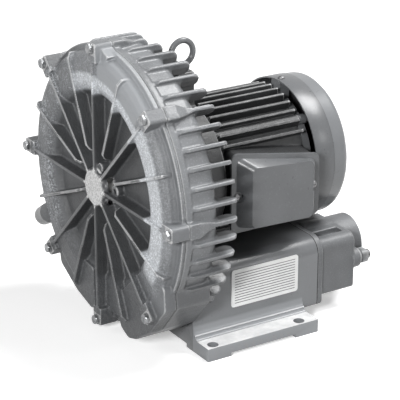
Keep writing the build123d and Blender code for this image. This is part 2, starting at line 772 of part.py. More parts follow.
def fan_screw_hole(radius):
    """Radial hole for a fan cover screw, at the top."""
    return Pos(fan_screw_x(), 0, fan_cover_radius - 6) * Cylinder(radius, 16)


def fan_cover_screws():
    """Small screws round the rim of the fan cover."""
    shank = Pos(fan_screw_x(), 0, fan_cover_radius - 5) * Cylinder(1.85, 10)
    head = Pos(fan_screw_x(), 0, fan_cover_radius + 1.0) * Cylinder(4.0, 2.0)
    head = fillet(head.edges().group_by(Axis.Z)[-1], 1.2)
    return [around(a) * (head + shank) for a in fan_screw_angles()]


def fan_cover():
    """Drawn sheet fan cover with a ring grille in its rear face."""
    x0, x1 = fan_cover_front_x, fan_cover_rear_x
    r, t, c = fan_cover_radius, fan_cover_wall, fan_cover_corner
    mid = x0 + fan_cover_length * 0.52
    step = fan_cover_step
    body = turned((x0, 0), (x0, r), (mid, r), (mid + 0.8, r - step), (x1 - c, r - step),
                  (x1 - c * 0.6, r - step - c * 0.1), (x1 - c * 0.25, r - step - c * 0.42),
                  (x1, r - step - c), (x1, 0))
    body -= turned((x0 - 1, 0), (x0 - 1, r - t), (x1 - c, r - t), (x1 - t - 1, r - step - c), (x1 - t, 0))
    first = 16.0
    pitch = (r - c - 6 - first) / grille_ring_count
    for i in range(grille_ring_count):
        inner = first + pitch * i
        body -= grille_ring(inner, inner + grille_slot, x1)
    return body - [around(a) * fan_screw_hole(2.1) for a in fan_screw_angles()]


def grille_ring(inner, outer, x1):
    """Ring of slots in the fan cover, left open between four spokes."""
    ring = pipe(outer, inner, x1 - fan_cover_wall - 2, x1 + 1)
    spoke = block(x1 - 6, x1 + 2, -3, 3, -fan_cover_radius, fan_cover_radius)
    return ring - spoke - around(90) * spoke


def cooling_fan():
    """Straight bladed fan pushed on the rear end of the shaft."""
    x0 = fan_hub_x
    body = pipe(16, shaft_fan_radius + 0.01, x0, x0 + 16)
    disc_x = x0 + 3 + fan_disc_thickness
    body += turned((x0 + 3, 14), (x0 + 3, fan_radius + 4), (disc_x, fan_radius + 4), (disc_x, 14))
    blade = block(x0 + 3, x0 + 15, -fan_blade_thickness / 2, fan_blade_thickness / 2, 14, fan_radius)
    step = 360.0 / fan_blade_count
    return body + [around(step * i + 10) * blade for i in range(fan_blade_count)]


def lid_gasket():
    """Flat gasket under the terminal box lid."""
    ring = box_outline(1.0) - box_outline(9.0)
    for u, w in box_screw_places():
        ring -= Pos(u, w) * Circle(2.6)
    return extrude(box_plane() * ring, lid_gasket_thickness)


def terminal_lid():
    """Pressed lid: flange, tapered sides, flat face and two screw notches."""
    base = lid_gasket_thickness
    rim = base + lid_flange_thickness
    top = base + lid_depth
    body = extrude(box_plane(base) * box_outline(0.0), lid_flange_thickness)
    body += loft([box_plane(rim - 0.5) * box_outline(5.0), box_plane(top) * lid_face(0.0)])
    body -= loft([box_plane(base - 0.5) * box_outline(9.0), box_plane(top - lid_wall) * lid_face(lid_wall)])
    for u, w in box_screw_places():
        body -= extrude(box_plane(rim) * Pos(u, w) * Circle(6.0), lid_depth)
        body -= extrude(box_plane(base - 1) * Pos(u, w) * Circle(2.6), 10)
    return body


def lid_screws():
    """Two screws that hold the terminal box lid."""
    rim = lid_gasket_thickness + lid_flange_thickness
    screws = []
    for u, w in box_screw_places():
        head = extrude(box_plane(rim) * Pos(u, w) * Circle(4.0), 2.6)
        screws.append(head + extrude(box_plane(rim + 1) * Pos(u, w) * Circle(1.95), -(rim + 9)))
    return screws


def terminal_block():
    """Terminal block on the floor of the terminal box."""
    return extrude(box_plane(-11.0) * Pos(box_length / 2, -8) * RectangleRounded(46, 34, 3), 9)


def terminal_studs():
    """Six brass studs with nuts on the terminal block."""
    studs = []
    for row in (-8, 8):
        for column in (-15, 0, 15):
            spot = Pos(box_length / 2 + column, -8 + row)
            nut = extrude(box_plane(-2.0) * spot * RegularPolygon(4.0, 6), 3.2)
            studs.append(nut + extrude(box_plane(-2.0) * spot * Circle(2.0), 8))
    return studs


def eyebolt():
    """Lifting eyebolt: ring, collar and thread."""
    centre = eyebolt_seat + eyebolt_collar_height + eyebolt_hole_radius + 2 * eyebolt_wire_radius - 2.5
    ring = Rot(90, 0, 0) * Torus(eyebolt_hole_radius + eyebolt_wire_radius, eyebolt_wire_radius)
    body = Pos(eyebolt_x, 0, centre) * ring
    collar = Cone(eyebolt_collar_radius, eyebolt_collar_radius - 3, eyebolt_collar_height)
    body += Pos(eyebolt_x, 0, eyebolt_seat + eyebolt_collar_height / 2) * collar
    thread = Cylinder(m8[0] - thread_clearance, eyebolt_thread_length + 1)
    return body + Pos(eyebolt_x, 0, eyebolt_seat - eyebolt_thread_length / 2 + 0.5) * thread


# ------------------------------------------------------------------------ base
def base_section(side_inset=0.0, bottom_drop=base_bottom_drop):
    """(y, z) points and radii of the base: two barrels with a valley between."""
    w, v = base_half_width - side_inset, valley_half_width
    points = [(-w, -bottom_drop), (-w, -base_top_drop), (-v - 3, -base_top_drop), (-v, -valley_drop),
              (v, -valley_drop), (v + 3, -base_top_drop), (w, -base_top_drop), (w, -bottom_drop)]
    return points, [6, base_corner, 5, 4, 4, 5, base_corner, 6]


def foot_hole_places():
    """(x, y) of the four foot holes."""
    dx, dy = foot_hole_spacing_x / 2, foot_hole_spacing_y / 2
    return [(feet_x + sx * dx, sy * dy) for sx in (-1, 1) for sy in (-1, 1)]


def base_housing():
    """Cast base: two silencer chambers, foot plate with pads and holes."""
    points, radii = base_section()
    body = outline_x(points, base_front_x, base_end_x, radii)
    body += block(base_front_x, foot_end_x, -foot_half_width, foot_half_width, -foot_bottom_drop, -foot_top_drop)
    for side in (-1, 1):
        edge = sorted((side * (base_half_width - 2), side * (base_half_width + foot_ledge)))
        body += block(base_front_x, foot_end_x, edge[0], edge[1], -foot_top_drop - 1,
                      -foot_top_drop + foot_ledge)
    for x0 in (base_front_x, foot_end_x - pad_length):
        for side in (-1, 1):
            edge = sorted((side * foot_half_width, side * (foot_half_width - pad_width)))
            body += block(x0, x0 + pad_length, edge[0], edge[1], -axis_height, -foot_bottom_drop)
    inner_x = base_front_x + base_front_wall
    for side in (-1, 1):
        chamber = chamber_solid(0.0, inner_x, base_end_x + 1)
        body -= chamber if side < 0 else mirror(chamber, Plane.XZ)
        for y, z in cap_bolt_places(side):
            body += rod(cap_bolt_boss, base_end_x - cap_bolt_depth - 3, base_end_x, y, z)
        body -= rod(port_hole_radius, base_front_x - 1, inner_x + 1, side * port_hole_y, -port_hole_drop)
        for y, z in cap_bolt_places(side):
            body -= rod(m5[0], base_end_x - cap_bolt_depth, base_end_x + 1, y, z)
    for y, z in base_screw_places():
        body -= rod(m8[0], base_front_x - 1, base_front_x + base_front_wall, y, z)
    for x, y in foot_hole_places():
        body -= Pos(x, y, -axis_height + foot_thickness / 2) * Cylinder(foot_hole_radius, foot_thickness + 4)
    return body


def chamber_solid(inset, x0, x1):
    """Silencer chamber on the -Y side as a solid, moved in by inset."""
    y0, y1 = -base_half_width + wall + 1.5 + inset, -chamber_inner_y - inset
    z0, z1 = -base_bottom_drop + 6 + inset, -chamber_top_drop - inset
    return outline_x([(y0, z0), (y0, z1), (y1, z1), (y1, z0)], x0, x1, [5, 13, 5, 5])


def silencer(side):
    """Foam sleeve that lines one chamber."""
    x0, x1 = base_front_x + base_front_wall + 1, base_end_x - cap_bolt_depth - 5
    sleeve = chamber_solid(part_gap, x0, x1)
    sleeve -= rod(port_hole_radius, x0 - 1, x1 + 1, -port_hole_y + 4, -port_hole_drop - 8)
    return sleeve if side < 0 else mirror(sleeve, Plane.XZ)


def base_gasket():
    """Gasket between casing and base, round both passages."""
    x0, x1 = casing_rear_x, base_front_x
    points, radii = base_section(4.0)
    face = outline_x(points, x0, x1, radii)
    face = face & (rod(casing_radius - 5, x0, x1) + lobes(x0, x1))
    for side in (-1, 1):
        face -= rod(port_hole_radius, x0 - 1, x1 + 1, side * port_hole_y, -port_hole_drop)
    for y, z in base_screw_places():
        face -= rod(m8[0] + 0.3, x0 - 1, x1 + 1, y, z)
    return face


# ------------------------------------------------------------- caps and ports
def cap_bolt_places(side):
    """(y, z) of the four bolts of one end cap."""
    outer = plug_y - 12.0
    low = -base_bottom_drop + 4.2
    inner = cap_flange_inner_y + 6.0
    return [(side * outer, -cap_top_drop - 5.0), (side * outer, low), (side * inner, -88.0),
            (side * inner, low)]


def cap_flange(x0, x1):
    """Flange outline of the -Y end cap as a prism."""
    w, v = base_half_width, valley_half_width
    points = [(-w, -base_bottom_drop), (-w, -base_top_drop), (-v - 3, -base_top_drop), (-v, -valley_drop),
              (-cap_flange_inner_y, -valley_drop), (-cap_flange_inner_y, -base_bottom_drop)]
    return outline_x(points, x0, x1, [6, base_corner, 4, 4, 2, 2])


def cap_inside(x0, x1, inset=0.0):
    """Hollow of the -Y end cap."""
    y0, y1 = -base_half_width + cap_side_inset + cap_wall, -cap_inner_y - cap_wall
    z0, z1 = -axis_height + cap_bottom_height + cap_wall, -cap_top_drop - cap_wall - groove_depth + 3
    return outline_x([(y0, z0), (y0, z1), (y1, z1), (y1, z0)], x0, x1, [6, 6, 6, 6])


def end_cap_solid():
    """End cap on the -Y side: flange, body, port boss, port bore and groove."""
    body = cap_flange(cap_front_x, cap_front_x + cap_flange_thickness)
    y0, y1 = -base_half_width + cap_side_inset, -cap_inner_y
    z0, z1 = -axis_height + cap_bottom_height, -cap_top_drop
    body += outline_x([(y0, z0), (y0, z1), (y1, z1), (y1, z0)], cap_front_x, cap_rear_x, [5, 10, 5, 5])
    groove_x = cap_front_x + cap_flange_thickness
    y, z = cap_bolt_places(-1)[0]
    body -= block(groove_x, cap_rear_x - 6, y - groove_width / 2, y + groove_width / 2,
                  z1 - groove_depth - 1, z1 + 1)
    body += rod(port_boss_radius, groove_x + 6, port_end_x, -port_y, -port_drop) & block(
        groove_x, port_end_x, -port_y - port_boss_radius, -cap_flange_inner_y, -axis_height, 0)
    body -= cap_inside(cap_front_x - 1, cap_rear_x - cap_wall)
    body -= rod(port_radius, cap_rear_x - cap_wall - 1, port_end_x + 1, -port_y, -port_drop)
    for y, z in cap_bolt_places(-1):
        body -= rod(m5[0] + 0.3, cap_front_x - 1, groove_x + 1, y, z)
    return body


def right_end_cap():
    """End cap on the -Y side, with the threaded boss for the plug."""
    body = end_cap_solid()
    body += rod(plug_boss_radius, cap_rear_x - 2, cap_rear_x + plug_boss_length, -plug_y, -plug_drop)
    body -= rod(port_radius, cap_rear_x - cap_wall, port_end_x + 1, -port_y, -port_drop)
    return body - rod(plug_thread_radius, cap_rear_x - cap_wall - 1, cap_rear_x + plug_boss_length + 1,
                      -plug_y, -plug_drop)


def left_end_cap():
    """End cap on the +Y side."""
    return mirror(end_cap_solid(), Plane.XZ)


def cap_gasket(side):
    """Gasket between base and one end cap."""
    x0, x1 = base_end_x, cap_front_x
    body = cap_flange(x0, x1) - cap_inside(x0 - 1, x1 + 1)
    for y, z in cap_bolt_places(-1):
        body -= rod(m5[0] + 0.3, x0 - 1, x1 + 1, y, z)
    return body if side < 0 else mirror(body, Plane.XZ)


def cap_bolts():
    """Eight M5 bolts that hold the two end caps."""
    seat = cap_front_x + cap_flange_thickness
    bolts = []
    for side in (-1, 1):
        for y, z in cap_bolt_places(side):
            bolts.append(Pos(seat, y, z) * Rot(0, 180, 0) * bolt(m5, seat - base_end_x + cap_bolt_depth - 2))
    return bolts


def cap_plug():
    """Round plug screwed into the -Y end cap."""
    x0 = cap_rear_x + plug_boss_length
    head = rod(plug_radius, x0, x0 + plug_length, -plug_y, -plug_drop)
    head = chamfer(head.edges().group_by(Axis.X)[-1], 2.0)
    return head + rod(plug_thread_radius - thread_clearance, cap_rear_x - 2, x0 + 1, -plug_y, -plug_drop)


def nameplate():
    """Blank plate on the side of the base."""
    z0, z1 = plate_bottom_height - axis_height, plate_top_height - axis_height
    y = -base_half_width
    body = block(plate_left_x, plate_right_x, y - plate_thickness, y, z0, z1)
    return fillet(body.edges().filter_by(Axis.Y), 3.0)


# ---------------------------------------------------------------------- export
def write(name, shape):
    """Write one node to parts/ as a compound of its solids."""
    pieces = shape if isinstance(shape, list) else [shape]
    solids = [solid for piece in pieces for solid in place(piece).solids()]
    result = solids[0] if len(solids) == 1 else Compound(children=solids)
    result.label = name
    export_step(result, os.path.join("parts", name + ".step"))


def front_bearing_size():
    """Position, outer radius, bore radius and width of the front bearing."""
    return front_bearing_x, front_bearing_radius, shaft_radius, front_bearing_width


def rear_bearing_size():
    """Position, outer radius, bore radius and width of the rear bearing."""
    return rear_bearing_x, rear_bearing_radius, shaft_rear_radius, rear_bearing_width


def build():
    """Write every node."""
    os.makedirs("parts", exist_ok=True)
    nodes = {
        "front_cover": front_cover, "rear_casing": rear_casing, "cover_bolts": cover_bolts,
        "casing_screws": casing_screws, "base_screws": base_screws, "impeller": impeller,
        "impeller_key": impeller_key, "impeller_washer": impeller_washer, "impeller_nut": impeller_nut,
        "shaft": shaft, "shaft_seal": shaft_seal, "bearing_spring_washer": bearing_stop,
        "front_end_shield": front_shield, "motor_frame": motor_frame, "rear_end_shield": rear_shield,
        "front_shield_screws": front_shield_screws, "rear_shield_screws": rear_shield_screws,
        "stator_core": stator_core, "stator_windings": stator_windings, "rotor_core": rotor_core,
        "cooling_fan": cooling_fan, "fan_cover": fan_cover, "fan_cover_screws": fan_cover_screws,
        "terminal_lid": terminal_lid, "lid_gasket": lid_gasket, "lid_screws": lid_screws,
        "terminal_block": terminal_block, "terminal_studs": terminal_studs, "cable_bush": cable_bush,
        "eyebolt": eyebolt, "base_housing": base_housing, "base_gasket": base_gasket,
        "right_end_cap": right_end_cap, "left_end_cap": left_end_cap, "cap_bolts": cap_bolts,
        "cap_plug": cap_plug, "nameplate": nameplate,
    }
    for name, make in nodes.items():
        write(name, make())
    write("front_bearing_outer_ring", bearing_outer(*front_bearing_size()))
    write("front_bearing_inner_ring", bearing_inner(*front_bearing_size()))
    write("rear_bearing_outer_ring", bearing_outer(*rear_bearing_size()))
    write("rear_bearing_inner_ring", bearing_inner(*rear_bearing_size()))
    write("right_silencer", silencer(-1))
    write("left_silencer", silencer(1))
    write("right_cap_gasket", cap_gasket(-1))
    write("left_cap_gasket", cap_gasket(1))


build()
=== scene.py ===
import math

import bmesh
import bpy
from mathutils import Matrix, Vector


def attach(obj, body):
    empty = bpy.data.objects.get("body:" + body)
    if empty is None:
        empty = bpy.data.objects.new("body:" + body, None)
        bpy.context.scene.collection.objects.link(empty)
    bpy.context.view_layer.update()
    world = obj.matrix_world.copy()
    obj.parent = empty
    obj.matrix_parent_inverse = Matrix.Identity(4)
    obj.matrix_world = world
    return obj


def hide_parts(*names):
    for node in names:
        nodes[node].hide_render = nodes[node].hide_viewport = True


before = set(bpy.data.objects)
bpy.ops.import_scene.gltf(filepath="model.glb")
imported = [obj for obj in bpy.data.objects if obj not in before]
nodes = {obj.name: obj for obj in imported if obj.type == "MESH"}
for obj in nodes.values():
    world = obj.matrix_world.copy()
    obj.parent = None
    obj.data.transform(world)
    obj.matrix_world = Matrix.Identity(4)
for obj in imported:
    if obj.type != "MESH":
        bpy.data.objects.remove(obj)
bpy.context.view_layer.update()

scene = bpy.context.scene
scene.view_settings.view_transform = "Standard"

MM = 0.001
SHAFT_Z = 0.165                        # the shaft's axis above the floor
HUB_X = -0.1275                        # front face of the cover's hub
X_AXIS = Vector((1.0, 0.0, 0.0))
NEAR_SIDE = Vector((0.0, -1.0, 0.0))   # where the terminal box and the name plate look


# ------------------------------------------------------------------ node helpers

class Wire:
    """A socket that takes part in sums and products; each operator adds its Math node."""

    def __init__(self, sheet, socket):
        self.sheet, self.socket = sheet, socket

    def _math(self, operation, first, second):
        return self.sheet.node(
            "ShaderNodeMath", {"operation": operation}, {0: first, 1: second}
        )

    def __add__(self, other):
        return self._math("ADD", self, other)

    def __radd__(self, other):
        return self._math("ADD", other, self)

    def __sub__(self, other):
        return self._math("SUBTRACT", self, other)

    def __rsub__(self, other):
        return self._math("SUBTRACT", other, self)

    def __mul__(self, other):
        return self._math("MULTIPLY", self, other)

    def __rmul__(self, other):
        return self._math("MULTIPLY", other, self)

    def __truediv__(self, other):
        return self._math("DIVIDE", self, other)

    def __pow__(self, other):
        return self._math("POWER", self, other)

    def __abs__(self):
        return (self * self) ** 0.5

    def above(self, low, high):
        """0 below low, 1 above high, and a smooth slope between."""
        return self.sheet.node(
            "ShaderNodeMapRange", {"interpolation_type": "SMOOTHSTEP"},
            {"Value": self, "From Min": low, "From Max": high, "To Min": 0.0, "To Max": 1.0},
        )

    def below(self, low, high):
        """1 below low, 0 above high, and a smooth slope between."""
        return 1.0 - self.above(low, high)


class Sheet:
    """A node tree that takes nodes one by one, for a material or for a pattern of parts."""

    def node(self, kind, settings=None, sockets=None, output=0):
        """Adds one node: its settings first, then the values or links of its sockets."""
        made = self.tree.nodes.new(kind)
        for key, value in (settings or {}).items():
            setattr(made, key, value)
        for key, value in (sockets or {}).items():
            self.feed(made.inputs[key], value)
        return Wire(self, made.outputs[output]) if output is not None else None

    def feed(self, socket, value):
        """Gives an input a wire, another node's output, a colour or a number."""
        if isinstance(value, Wire):
            self.tree.links.new(value.socket, socket)
        elif hasattr(value, "is_output"):
            self.tree.links.new(value, socket)
        elif isinstance(value, tuple) and len(value) == 3 and socket.type == "RGBA":
            socket.default_value = (*value, 1.0)
        else:
            socket.default_value = value


class Finish(Sheet):
    """One material and its nodes."""

    def __init__(self, name):
        self.material = bpy.data.materials.new(name)
        self.material.use_nodes = True
        self.tree = self.material.node_tree
        self.tree.nodes.clear()
        self.coat = self.tree.nodes.new("ShaderNodeBsdfPrincipled")
        self.out = self.tree.nodes.new("ShaderNodeOutputMaterial")
        self.tree.links.new(self.coat.outputs[0], self.out.inputs["Surface"])
        self.place = self.tree.nodes.new("ShaderNodeTexCoord").outputs["Object"]

    def set(self, **values):
        """Values or wires on the Principled shader, named with underscores for spaces."""
        for key, value in values.items():
            self.feed(self.coat.inputs[key.replace("_", " ")], value)

    def noise(self, per_metre, detail=2.0, rough=0.5, stretch=None):
        """Cloudy noise in object space; stretch gives each axis its own rate."""
        place = self.place
        if stretch:
            place = self.node("ShaderNodeMapping", None, {"Vector": place, "Scale": stretch})
        return self.node(
            "ShaderNodeTexNoise", None,
            {"Vector": place, "Scale": per_metre, "Detail": detail, "Roughness": rough},
        )

    def sand(self):
        """The finest grain of a sand casting, the same on every cast piece."""
        return self.noise(560.0, 3.0, 0.65)

    def blend(self, amount, first, second):
        """A colour between two, by amount from 0 to 1."""
        return self.node(
            "ShaderNodeMix", {"data_type": "RGBA"}, {0: amount, 6: first, 7: second}, output=2
        )

    def part_of(self, vector, letter):
        """One axis of a vector."""
        return self.node("ShaderNodeSeparateXYZ", None, {0: vector}, "XYZ".index(letter))

    def axis(self, letter):
        """The place along an axis, in metres."""
        return self.part_of(self.place, letter)

    def facing(self, letter):
        """How far the surface itself faces along an axis, from -1 to 1."""
        return self.part_of(self.node("ShaderNodeNewGeometry", output="True Normal"), letter)

    def round_shaft(self):
        """Distance from the shaft's axis, and the turn from its top towards the terminal box."""
        side, up = self.axis("Y"), self.axis("Z") - SHAFT_Z
        away = (side * side + up * up) ** 0.5
        turn = self.node("ShaderNodeMath", {"operation": "ARCTAN2"}, {0: side * -1.0, 1: up})
        return away, turn

    def crest(self):
        """Above a half on an outer edge and below it in a corner of a fine mesh."""
        return self.node("ShaderNodeNewGeometry", output="Pointiness")

    def bump(self, height, depth_mm, strength=1.0):
        """Fine relief of the surface."""
        self.set(Normal=self.node(
            "ShaderNodeBump", None,
            {"Height": height, "Distance": depth_mm * MM, "Strength": strength},
        ))


class Pattern(Sheet):
    """A Geometry Nodes tree with named sizes, turned into a plain mesh by make()."""

    def __init__(self, name, sizes):
        self.tree = bpy.data.node_groups.new(name, "GeometryNodeTree")
        face = self.tree.interface
        face.new_socket("Geometry", in_out="INPUT", socket_type="NodeSocketGeometry")
        self.keys = {}
        for label, value in sizes.items():
            socket = face.new_socket(label, in_out="INPUT", socket_type="NodeSocketFloat")
            socket.default_value = value
            self.keys[label] = socket.identifier
        face.new_socket("Geometry", in_out="OUTPUT", socket_type="NodeSocketGeometry")
        self.given = self.tree.nodes.new("NodeGroupInput")
        self.base = Wire(self, self.given.outputs[0])

    def size(self, label):
        return Wire(self, self.given.outputs[label])

    def vector(self, x, y, z):
        return self.node("ShaderNodeCombineXYZ", None, {0: x, 1: y, 2: z})

    def join(self, *parts):
        """Several parts as one."""
        made = self.tree.nodes.new("GeometryNodeJoinGeometry")
        for part in parts:
            self.tree.links.new(part.socket, made.inputs[0])
        return Wire(self, made.outputs[0])

    def cut(self, operation, first, other):
        """Mesh Boolean of one solid with another."""
        made = self.tree.nodes.new("GeometryNodeMeshBoolean")
        made.operation = operation
        made.solver = "EXACT"
        self.tree.links.new(first.socket, made.inputs[0 if operation == "DIFFERENCE" else 1])
        self.tree.links.new(other.socket, made.inputs[1])
        return Wire(self, made.outputs[0])

    def lift(self, part, height):
        """A part moved up its own Z axis."""
        return self.node(
            "GeometryNodeTransform", None,
            {"Geometry": part, "Translation": self.vector(0.0, 0.0, height)},
        )

    def along_points(self, part):
        """One copy of a part at each point, turned so that its Z follows the point's aim."""
        aim = self.node(
            "GeometryNodeInputNamedAttribute", {"data_type": "FLOAT_VECTOR"}, {"Name": "aim"}
        )
        turn = self.node("FunctionNodeAlignRotationToVector", {"axis": "Z"}, {"Vector": aim})
        return self.node(
            "GeometryNodeInstanceOnPoints", None,
            {"Points": self.base, "Instance": part, "Rotation": turn},
        )

    def close(self, copies, finish):
        """Realises the copies and gives them their finish."""
        real = self.node("GeometryNodeRealizeInstances", None, {0: copies})
        done = self.node("GeometryNodeSetMaterial", None, {0: real, "Material": FINISH[finish]})
        self.node("NodeGroupOutput", None, {0: done}, output=None)

    def make(self, name, places, sizes=None):
        """The plain mesh of one part at each place, with its own sizes where they are given."""
        obj = linked(name, points_mesh(name, places))
        pattern = obj.modifiers.new("pattern", "NODES")
        pattern.node_group = self.tree
        for label, value in (sizes or {}).items():
            pattern[self.keys[label]] = value
        return baked(obj)


# ------------------------------------------------------------------ finishes

WORN, WORN_COVER = (0.56, 0.565, 0.57), (0.72, 0.725, 0.73)    # edges rubbed to the metal
DRIFT = (0.35, 0.7)                    # slow change of tone over a cast wall

# Soft edges of the casing's painted shade zones, in metres.
CASING_BACK = HUB_X + 0.060
BACK_FACE_EDGE = (0.1435, 0.1460)      # from the shaft
LOW_ZONE_TOP = (0.080, 0.135)          # above the floor

# Soft edges of the cover's zones, as distances from the shaft in metres.
HUB_EDGE = (0.0215, 0.0235)
DISH_EDGE = (0.098, 0.103)
BAND_INNER = (0.1000, 0.1045)
BAND_OUTER = (0.1180, 0.1235)
GRAIN_GLINT_INNER = (0.1005, 0.108)
GRAIN_GLINT_OUTER = (0.138, 0.143)
CALM_INNER = (0.1185, 0.1225)
LUG_INNER = (0.1425, 0.1440)
LUG_FACE = (HUB_X + 0.003, HUB_X + 0.004)      # along the shaft
BULGE_WIDENS = 0.011                   # how much wider the pale band is on the bulge

# The same zones as turns from the top towards the terminal box, in radians.
BOTTOM_TURN = (2.12, 2.40)
BAND_START, BAND_END = (-0.46, -0.30), (2.05, 2.16)
LEFT_TURN = (-0.5, -0.3)
CALM_START, CALM_END = (0.03, 0.06), (0.70, 0.74)
BULGE_START = (0.74, 0.82)

# Zones of the base's feet: distances from the middle, and heights above the floor, in metres.
LEDGE_SIDE = (0.0935, 0.0945)
MILLED_SIDE = (0.1018, 0.1022)
MILLED_LOW, MILLED_HIGH = (0.0135, 0.0140), (0.0150, 0.0155)
OUTER_SIDE = (0.1180, 0.1230)
OUTER_TOP = (0.0142, 0.0150)

HOOD_STEP = HUB_X + 0.2499             # drawn step round the fan cover
STEP_LINE, STEP_FADE = 0.0008, 0.0003  # width of the painted shade line in it, and of its soft edge


def grey(value):
    """The paint's cool grey at a lightness."""
    return (value * 0.965, value * 1.0, value * 1.045)


def cast_paint(name, dark, light, grain=0.22, worn=0.7, depth=0.8, shine=0.36, back=None):
    """Grey paint over rough sand-cast aluminium: grain, drifts of tone, and rubbed edges.

    Past back, a place along the shaft, painted shade makes the rear face and the undersides of the
    fins as dark as the motor's paint; the low part gets painted shade too."""
    f = Finish(name)
    sand, drift, lumps = f.sand(), f.noise(22.0), f.noise(150.0)
    tone = f.blend(drift.above(*DRIFT), grey(dark), grey(light))
    tone = f.blend(sand.above(0.52, 0.74) * grain, tone, grey(min(light * 2.6, 0.6)))
    if worn:
        rubbed = f.crest().above(0.512, 0.575) * (0.5 + sand * 0.9)
        tone = f.blend(rubbed * worn, tone, WORN)
    if back:
        tone = painted_back_shade(f, tone, back)
    f.set(Base_Color=tone, Roughness=shine + sand * 0.20, Specular_IOR_Level=0.5)
    f.bump(sand * 0.6 + lumps * 0.8, depth)
    return f.material


def painted_back_shade(f, tone, back):
    """Painted shade on the casing: its rear face, its low part and the undersides of its fins."""
    away, _ = f.round_shaft()
    rear = f.axis("X").above(back, back + 0.003) * away.below(*BACK_FACE_EDGE)
    low = f.axis("Z").below(*LOW_ZONE_TOP)
    under = f.axis("X").above(back, back + 0.004) * (f.facing("Z") * -1.0).above(0.15, 0.60)
    # painted shade: dark greys on the rear face, the low part and the fin undersides
    tone = f.blend(rear * 0.9, tone, grey(0.030))
    tone = f.blend(low * 0.6, tone, grey(0.055))
    return f.blend(under * 0.8, tone, grey(0.035))


def cover_paint(name):
    """The cover's paint: painted shade in the dish, on the far side and at the bottom; a painted
    highlight band and casting grain with painted glints on the crest; bare on machined faces.
    """
    f = Finish(name)
    away, turn = f.round_shaft()
    sand, drift, coarse, lumps = f.sand(), f.noise(20.0), f.noise(240.0, 2.0, 0.6), f.noise(140.0)
    speck = sand.above(0.46, 0.66) * 0.75 + coarse.above(0.45, 0.65) * 0.25
    bottom = abs(turn).above(*BOTTOM_TURN)
    left = turn.below(*LEFT_TURN) * (1.0 - bottom)
    calm = away.above(*CALM_INNER) * turn.above(*CALM_START) * turn.below(*CALM_END)

    tone = f.blend(drift.above(*DRIFT), grey(0.15), grey(0.21))
    # painted shade: the far side of the cover, away from the terminal box, darker
    tone = f.blend(left * 0.8, tone, grey(0.085))
    # casting grain with painted glints: pale specks over the crest, and painted highlight patches
    # on the far side
    patch = f.noise(45.0).above(0.42, 0.62)
    grain_and_glints = away.above(*GRAIN_GLINT_INNER) * away.below(*GRAIN_GLINT_OUTER) * (0.30 + left * patch * 0.55)
    tone = f.blend(grain_and_glints * speck, tone, grey(0.62))

    # painted highlight: a pale speckled band on the crest, from the top round towards the terminal
    # box, wider on the bulge
    widened = away - BULGE_WIDENS * turn.above(*BULGE_START)
    band = away.above(*BAND_INNER) * widened.below(*BAND_OUTER)
    band = band * (turn.above(*BAND_START) * turn.below(*BAND_END))
    pale = f.blend(speck, grey(0.46), grey(0.90))
    tone = f.blend(band * (0.75 + drift * 0.3), tone, pale)
    tone = f.blend(calm, tone, grey(0.30))

    # painted shade: the bottom of the cover darker
    low = f.blend(speck, grey(0.050), grey(0.100))
    tone = f.blend(bottom * 0.85, tone, low)
    # painted shade in the recessed dish
    shade = f.blend(drift.above(0.3, 0.7), grey(0.046), grey(0.070))
    tone = f.blend(away.below(*DISH_EDGE), tone, shade)
    # rubbed edges lightened to the metal, dimmed where the painted bottom shade lies
    rubbed = f.crest().above(0.512, 0.570) * (0.55 + sand * 0.8)
    tone = f.blend(rubbed * (0.85 - bottom * 0.55), tone, WORN_COVER)

    front = (f.facing("X") * -1.0).above(0.6, 0.9)
    bare = f.blend(sand.above(0.38, 0.60), (0.40, 0.40, 0.40), (0.68, 0.68, 0.68))
    tone = f.blend(away.below(*HUB_EDGE) * front, tone, bare)
    lug = away.above(*LUG_INNER) * front * f.axis("X").below(*LUG_FACE)
    tone = f.blend(lug * 0.6, tone, bare)

    f.set(Base_Color=tone, Roughness=0.34 + sand * 0.22, Specular_IOR_Level=0.4)
    f.bump((sand * 0.6 + lumps * 0.8) * (1.0 - calm * 0.75), 0.9)
    return f.material


def satin_paint(name, dark=0.120, light=0.150, foot=False, step=None):
    """Smooth grey paint over pressed or machined metal, with a faint orange peel."""
    f = Finish(name)
    drift, peel = f.noise(14.0), f.noise(330.0)
    tone = f.blend(drift.above(0.3, 0.7), grey(dark), grey(light))
    tone = f.blend(peel.above(0.55, 0.8) * 0.18, tone, grey(light * 1.9))
    shine = 0.24 + peel * 0.12
    if foot:
        tone, milled = foot_tones(f, tone)
        shine = shine + milled * 0.2
    if step:
        tone = step_tones(f, tone, step, light)
    f.set(Base_Color=tone, Roughness=shine, Specular_IOR_Level=0.5)
    f.bump(peel, 0.04, 0.4)
    return f.material


def foot_tones(f, tone):
    """Painted light on the feet's ledges and outer sides, and bare metal where their milled tops
    are.
    """
    side, up = abs(f.axis("Y")), f.axis("Z")
    milled = side.above(*MILLED_SIDE) * f.facing("Z").above(0.9, 0.98)
    milled = milled * up.above(*MILLED_LOW) * up.below(*MILLED_HIGH)
    cloud = f.noise(70.0, 4.0, 0.62)
    bright = f.blend(cloud.above(0.3, 0.7), (0.54, 0.545, 0.55), (0.68, 0.68, 0.68))
    # painted light: the ledge and the outer side of each foot lighter, as where light falls on
    # them
    tone = f.blend(side.above(*LEDGE_SIDE), tone, grey(0.24))
    tone = f.blend(side.above(*OUTER_SIDE) * up.below(*OUTER_TOP) * 0.8, tone, grey(0.30))
    return f.blend(milled, tone, bright), milled


